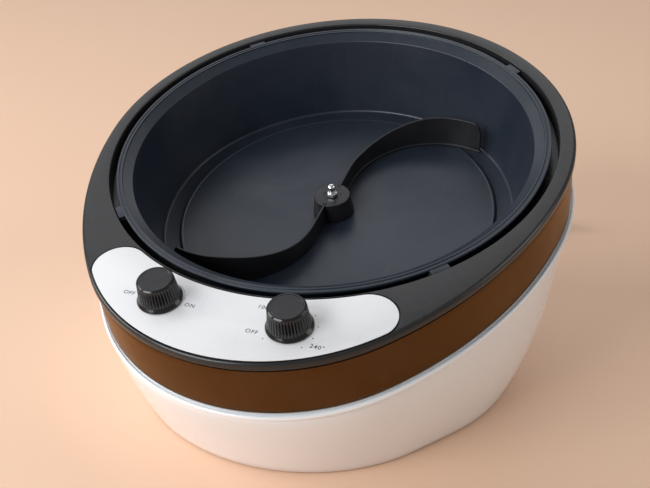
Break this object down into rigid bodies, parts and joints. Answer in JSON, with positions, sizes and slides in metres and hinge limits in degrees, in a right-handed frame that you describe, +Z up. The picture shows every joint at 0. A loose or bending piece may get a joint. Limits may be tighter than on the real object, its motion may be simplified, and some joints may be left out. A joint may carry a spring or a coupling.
{
  "type": "countertop coffee roaster",
  "caption": "Open electric countertop coffee roaster: a coated pan with a turning S-shaped stirring blade in a leaning egg-shaped body with switch and temperature knobs.",
  "frame": {"origin": "middle of the roaster's own footprint box on the table, without the cord", "axes": "+Z up, the control panel towards -Y, the temperature knob on the +X side"},
  "size_m": [0.3344, 0.4971, 0.2179],
  "materials": {
    "deck_black": "satin charcoal moulding",
    "panel_silver": "fine satin",
    "band_brown": "satin metallic brown",
    "shell_white": "gloss white",
    "pan_coat": "dark blue-grey release coating",
    "black_moulding": "satin black",
    "steel": "plain steel",
    "chrome": "polished",
    "rubber": "matt black",
    "grey_moulding": "matt grey",
    "cord_black": "satin black jacket",
    "brass": "plain brass"
  },
  "bodies": {
    "housing": {"top_deck": "deck_black", "control_panel": "panel_silver", "side_band": "band_brown", "lower_shell": "shell_white", "roasting_pan": "pan_coat", "heat_shield": "steel", "heating_element": "steel", "thermostat_bulb": "brass", "thermal_cutout": "black_moulding", "motor_bracket": "steel", "gearbox": "grey_moulding", "gear_motor": "steel", "shaft_bush": "brass", "shaft_seal": "rubber", "base_plate": "grey_moulding", "terminal_block": "shell_white", "strain_relief": "black_moulding", "power_cord": "cord_black", "cord_coil": "cord_black", "cord_tail": "cord_black", "cord_tie": "cord_black", "plug_body": "black_moulding", "plug_pin_a": "steel", "plug_pin_b": "steel", "stir_switch": "grey_moulding", "thermostat": "grey_moulding", "shield_screw_front_right": "steel", "foot_front_right": "rubber", "base_screw_front_right": "steel", "shield_screw_front_left": "steel", "foot_front_left": "rubber", "base_screw_front_left": "steel", "shield_screw_rear_right": "steel", "foot_rear_right": "rubber", "base_screw_rear_right": "steel", "shield_screw_rear_left": "steel", "foot_rear_left": "rubber", "base_screw_rear_left": "steel", "bracket_screw_1": "steel", "bracket_screw_2": "steel", "element_clip_1": "steel", "element_clip_2": "steel", "element_clip_3": "steel", "stir_panel_nut": "steel", "temperature_panel_nut": "steel"},
    "drive": {"drive_shaft": "steel"},
    "stirrer": {"stir_hub": "black_moulding", "blade_arm_rear": "black_moulding", "blade_arm_front": "black_moulding"},
    "nut": {"hub_nut": "chrome"},
    "stir_control": {"stir_knob": "black_moulding", "stir_shaft": "steel"},
    "temperature_control": {"temperature_knob": "black_moulding", "temperature_shaft": "steel"}
  },
  "joints": [
    {"name": "drive_spin", "type": "hinge", "parent": "housing", "child": "drive", "pos_m": [0, 0.01348, 0.171], "axis": [0, -0.283, 0.9591], "continuous": true},
    {"name": "stirrer_lift", "type": "slide", "parent": "drive", "child": "stirrer", "axis": [0, -0.283, 0.9591], "range_m": [0, 0.12]},
    {"name": "nut_lift", "type": "slide", "parent": "stirrer", "child": "nut", "axis": [0, -0.283, 0.9591], "range_m": [0, 0.03]},
    {"name": "stir_knob_turn", "type": "hinge", "parent": "housing", "child": "stir_control", "pos_m": [-0.04299, -0.15347, 0.12299], "axis": [0, -0.283, 0.9591], "range_deg": [-180, 0]},
    {"name": "temperature_knob_turn", "type": "hinge", "parent": "housing", "child": "temperature_control", "pos_m": [0.04299, -0.15347, 0.12299], "axis": [0, -0.283, 0.9591], "range_deg": [-275, 0]}
  ]
}
